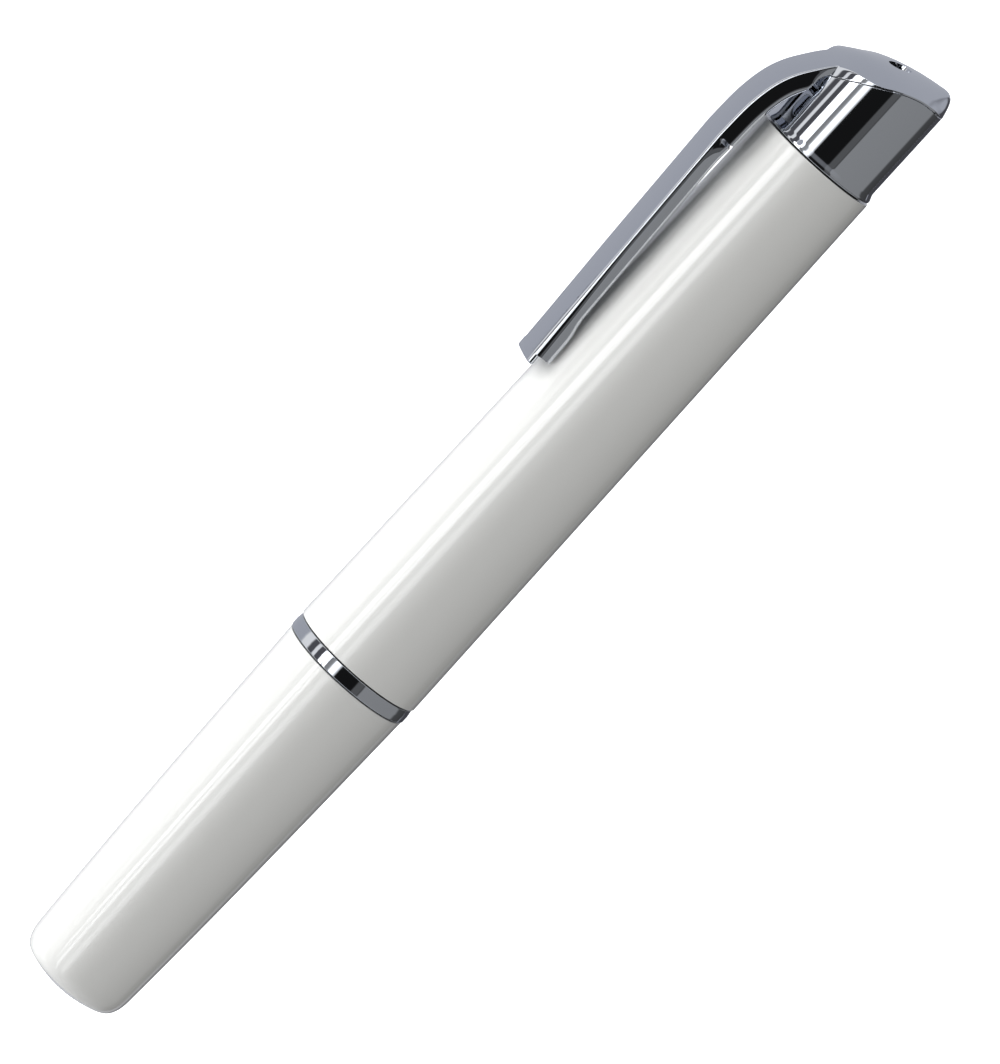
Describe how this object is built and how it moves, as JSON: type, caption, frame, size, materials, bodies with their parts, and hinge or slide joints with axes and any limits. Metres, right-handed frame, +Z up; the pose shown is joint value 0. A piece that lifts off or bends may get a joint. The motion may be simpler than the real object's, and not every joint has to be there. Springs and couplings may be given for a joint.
{
  "type": "pen otoscope",
  "caption": "Pen-shaped video otoscope: white tapered barrel, chrome cap with pocket clip, chrome switch ring, pull-off cover over the speculum and camera probe.",
  "frame": {"origin": "on the surface that the pen lies on, under the middle of its box", "axes": "+X along the pen towards the tail of its cover, +Z up from the surface, the clip points to -Y and 29 degrees down"},
  "size_m": [0.1294, 0.0184, 0.0153],
  "materials": {
    "white_lacquer": "high-gloss white lacquer over a thin aluminium tube",
    "chrome": "bright mirror chrome plating",
    "black_plastic": "fine-textured black moulding",
    "grey_plastic": "satin grey moulding",
    "speculum_plastic": "smooth dark moulding",
    "cushion_foam": "soft closed-cell foam",
    "seal_rubber": "matt nitrile rubber",
    "steel": "fine turned steel",
    "gold_contact": "gold-flashed contact metal",
    "lens_glass": "clear polished",
    "board": "solder-masked laminate",
    "amber_film": "polyimide film",
    "cell_wrap": "shrink-wrapped cell can"
  },
  "bodies": {
    "handle": {"barrel_shell": "white_lacquer", "nose_body": "black_plastic", "cover_oring": "seal_rubber", "probe_seat": "steel", "speculum_seat": "steel", "probe_tube": "steel", "probe_window": "lens_glass", "light_guide": "lens_glass", "camera_module": "black_plastic", "camera_flex": "amber_film", "main_board": "board", "camera_socket": "grey_plastic", "hall_sensor": "black_plastic", "image_processor": "black_plastic", "wifi_module": "steel", "front_contact": "gold_contact", "battery_cell": "cell_wrap", "cell_holder": "grey_plastic", "flex_strip": "amber_film", "rear_contact": "gold_contact", "socket_board": "board", "charge_socket": "steel", "socket_tongue": "black_plastic", "rear_bush": "black_plastic", "cap_oring": "seal_rubber"},
    "ring": {"switch_ring": "chrome", "ring_magnet": "steel"},
    "speculum": {"speculum": "speculum_plastic"},
    "cover": {"cover_shell": "white_lacquer", "cover_liner": "black_plastic", "tip_cushion": "cushion_foam"},
    "cap": {"head_sleeve": "chrome", "cap_insert": "black_plastic", "hood_screw": "steel", "hood": "chrome"},
    "clip": {"clip_arm": "chrome"}
  },
  "joints": [
    {"name": "cover_slide", "type": "slide", "parent": "handle", "child": "cover", "axis": [1, 0, 0], "range_m": [0, 0.045]},
    {"name": "ring_turn", "type": "hinge", "parent": "handle", "child": "ring", "pos_m": [0.01957, 0.00152, 0.00764], "axis": [1, 0, 0], "range_deg": [0, 60]},
    {"name": "speculum_twist", "type": "hinge", "parent": "handle", "child": "speculum", "pos_m": [0.0317, 0.00152, 0.00764], "axis": [1, 0, 0], "range_deg": [0, 40]},
    {"name": "cap_slide", "type": "slide", "parent": "handle", "child": "cap", "axis": [-1, 0, 0], "range_m": [0, 0.014]},
    {"name": "clip_flex", "type": "hinge", "parent": "cap", "child": "clip", "pos_m": [-0.05797, -0.00479, 0.00409], "axis": [0, 0.4894, -0.8721], "range_deg": [0, 6], "stiffness_Nm_per_rad": 2}
  ]
}
